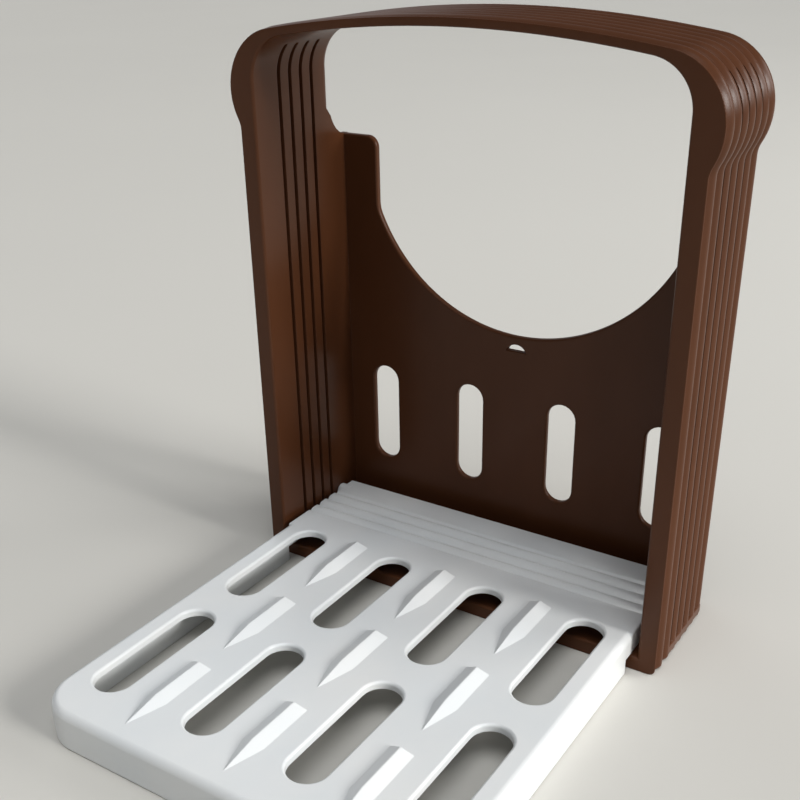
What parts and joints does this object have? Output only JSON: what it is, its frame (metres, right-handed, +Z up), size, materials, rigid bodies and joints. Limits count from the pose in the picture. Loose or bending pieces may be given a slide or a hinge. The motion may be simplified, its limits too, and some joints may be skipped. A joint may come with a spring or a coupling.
{
  "type": "bread slicer guide",
  "caption": "Folding loaf-slicing guide: ribbed arch with knife slots and a cut-out back plate, and a perforated loaf tray hinged at its foot.",
  "frame": {"origin": "middle of the frame's foot, on the table", "axes": "+Z up, X across the frame along the hinge, +Y from the open front to the back plate; the tray lies towards -Y"},
  "size_m": [0.141, 0.1515, 0.168],
  "materials": {
    "brown_moulding": "dark brown polypropylene, satin outside and glossy inside",
    "white_moulding": "cool white polypropylene, smooth satin"
  },
  "bodies": {
    "frame": {"frame": "brown_moulding"},
    "tray": {"tray": "white_moulding"}
  },
  "joints": [
    {"name": "tray_fold", "type": "hinge", "parent": "frame", "child": "tray", "pos_m": [0, 0.0101, 0.009], "axis": [-1, 0, 0], "range_deg": [0, 90]}
  ]
}
